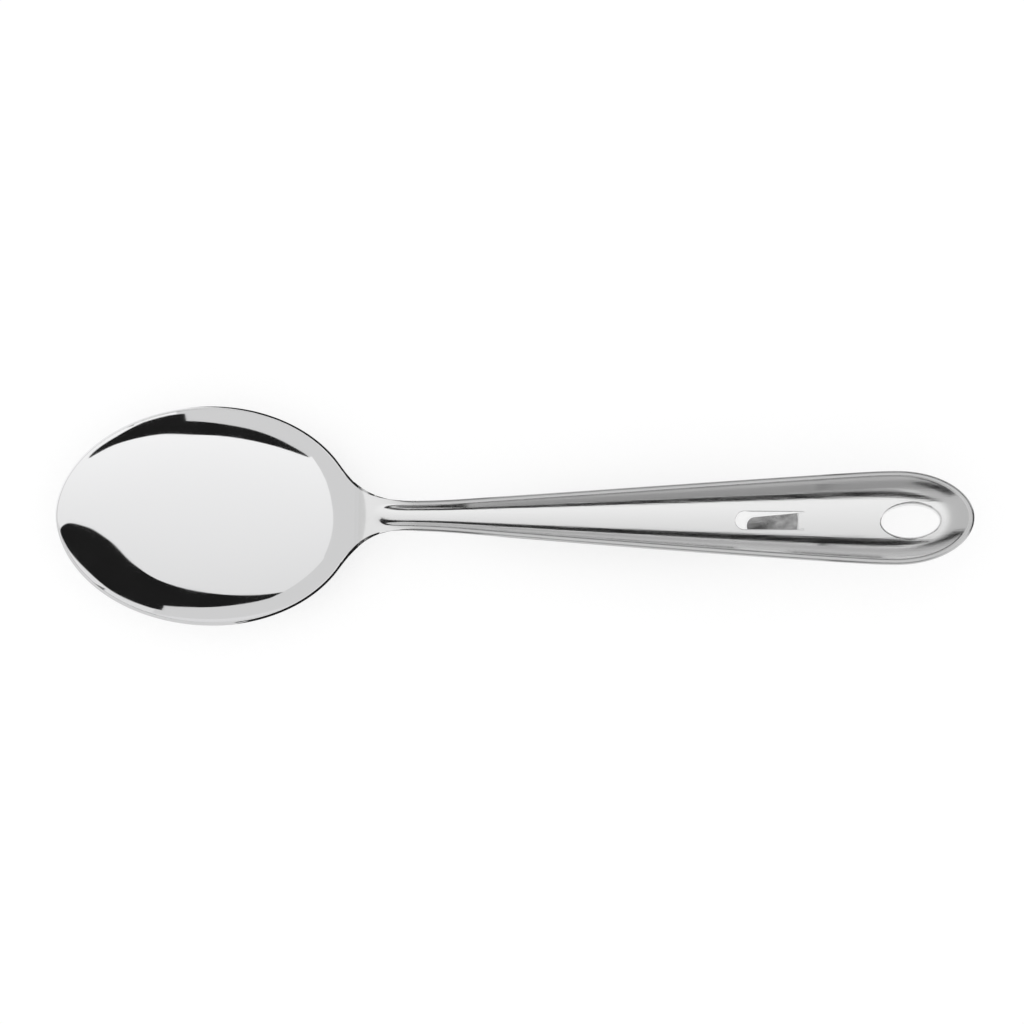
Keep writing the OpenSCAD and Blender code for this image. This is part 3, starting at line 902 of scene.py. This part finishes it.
def upright(x, y, top):
    """Corners of a card that stands on the floor between two places."""
    return [(x[0], y[0], LOW_Z), (x[1], y[1], LOW_Z), (x[1], y[1], top), (x[0], y[0], top)]


def on_floor(x, y):
    """Corners of a card that lies just above the floor."""
    return [(x[0], y[0], FLAT_Z), (x[1], y[0], FLAT_Z), (x[1], y[1], FLAT_Z), (x[0], y[1], FLAT_Z)]


def edge_fence(name, side, first, last, top):
    """A low dark fence round the bowl's back, towards the handle, which little but its bare edge shows."""
    turn = np.linspace(first, last, FENCE_STEPS)
    x = WIDEST_X + FENCE_REACH * BOWL_BACK * np.cos(np.radians(turn))
    y = side * FENCE_REACH * BOWL_W / 2 * np.sin(np.radians(turn))
    height = LOW_Z + (top - LOW_Z) * smooth(last - turn, 0, FENCE_TAPER)
    rows = np.concatenate([on(x, y, LOW_Z), on(x, y, height)])
    faces = [(k, k + 1, FENCE_STEPS + k + 1, FENCE_STEPS + k) for k in range(FENCE_STEPS - 1)]
    card(name, rows, DARK, faces)


card("front_slate", upright(SLATE_X, (-SLATE_Y, -SLATE_Y), FRONT_SLATE_TOP), SLATE)
card("back_slate", upright(SLATE_X, (SLATE_Y, SLATE_Y), BACK_SLATE_TOP), DIM_SLATE)
# Dark card on the floor under the handle, seen only in reflections: a painted shadow standing in for the
# shade under the handle
card("painted_shadow_under_handle", on_floor(UNDER_X, (-UNDER_HALF, UNDER_HALF)), DARK)
# Dark card past the handle's end, seen only in reflections: painted shade standing in for the shaded floor
# under the handle's end, which the hole's rolled edge shows
card("painted_shade_past_tip", upright((TIP_X, TIP_X), (-TIP_HALF, TIP_HALF), TIP_TOP), DARK)
for place, side in (("front", -1), ("back", 1)):
    card(place + "_neck_dark", on_floor(PATCH_X, [side * y for y in PATCH_Y]), DARK)
    card(place + "_fin", upright(FIN_X, [side * y for y in FIN_Y], FIN_TOP), DARK)
edge_fence("back_fence", 1, first=18, last=104, top=5)
edge_fence("front_fence", -1, first=25, last=94, top=22)

# The floor and the light
FLOOR_HALF = 6.0
FLOOR_SHADE = 0.42
FLOOR_OWN = 0.63
FRONT_LIGHT = 1.06
BACK_LIGHT = 0.8


def build_floor():
    """A white floor that keeps the shadow: a part of its white is its own, as seen by eye or in metal."""
    corners = [(FLOOR_HALF * x, FLOOR_HALF * y, 0) for x, y in ((-1, -1), (1, -1), (1, 1), (-1, 1))]
    mesh = bpy.data.meshes.new("floor")
    mesh.from_pydata(corners, [], [(0, 1, 2, 3)])
    material, nodes, links, surface = bare_material("floor")
    diffuse = nodes.new("ShaderNodeBsdfDiffuse")
    diffuse.inputs["Color"].default_value = (FLOOR_SHADE, FLOOR_SHADE, FLOOR_SHADE, 1)
    own = nodes.new("ShaderNodeEmission")
    own.inputs["Strength"].default_value = FLOOR_OWN
    path = nodes.new("ShaderNodeLightPath")
    seen = path.outputs["Is Camera Ray"]
    for ray in ("Is Glossy Ray", "Is Transmission Ray"):
        seen = reckoned(nodes, links, "MAXIMUM", seen, path.outputs[ray])
    links.new(seen, own.inputs["Color"])
    both = nodes.new("ShaderNodeAddShader")
    links.new(diffuse.outputs["BSDF"], both.inputs[0])
    links.new(own.outputs["Emission"], both.inputs[1])
    links.new(both.outputs["Shader"], surface)
    mesh.materials.append(material)
    add_object("floor", mesh)


def build_world():
    """Soft light from all round, a little brighter towards the front."""
    world = bpy.data.worlds.new("surround")
    scene.world = world
    world.use_nodes = True
    nodes = world.node_tree.nodes
    links = world.node_tree.links
    place = nodes.new("ShaderNodeTexCoord")
    parts = nodes.new("ShaderNodeSeparateXYZ")
    links.new(place.outputs["Generated"], parts.inputs["Vector"])
    level = nodes.new("ShaderNodeMapRange")
    level.inputs["From Min"].default_value = -1
    level.inputs["From Max"].default_value = 1
    level.inputs["To Min"].default_value = FRONT_LIGHT
    level.inputs["To Max"].default_value = BACK_LIGHT
    links.new(parts.outputs["Y"], level.inputs["Value"])
    links.new(level.outputs["Result"], nodes["Background"].inputs["Color"])


# The camera: far off, nearly square to the rim, tilted a little towards the front
VIEW_TILT = math.radians(10)
VIEW_ROLL = math.radians(0.53)
VIEW_FAR = 3.0
VIEW_WIDTH = 0.3458
VIEW_END = 50.0
VIEW_AT = (154.3, 2.13, 0.0)
SENSOR = 36.0


def build_camera():
    right = Vector((math.cos(REST), 0, -math.sin(REST)))
    square = Vector((math.sin(REST), 0, math.cos(REST)))
    back = square * math.cos(VIEW_TILT) + Vector((0, -math.sin(VIEW_TILT), 0))
    up = back.cross(right)
    turn = Matrix.Rotation(VIEW_ROLL, 3, back)
    facing = Matrix((turn @ right, turn @ up, back)).transposed().to_4x4()
    data = bpy.data.cameras.new("camera")
    data.sensor_width = SENSOR
    data.lens = SENSOR * VIEW_FAR / VIEW_WIDTH
    data.clip_end = VIEW_END
    camera = add_object("camera", data)
    camera.matrix_world = Matrix.Translation(Vector(to_rest(VIEW_AT)) + back * VIEW_FAR) @ facing
    scene.camera = camera


build_floor()
build_world()
build_camera()
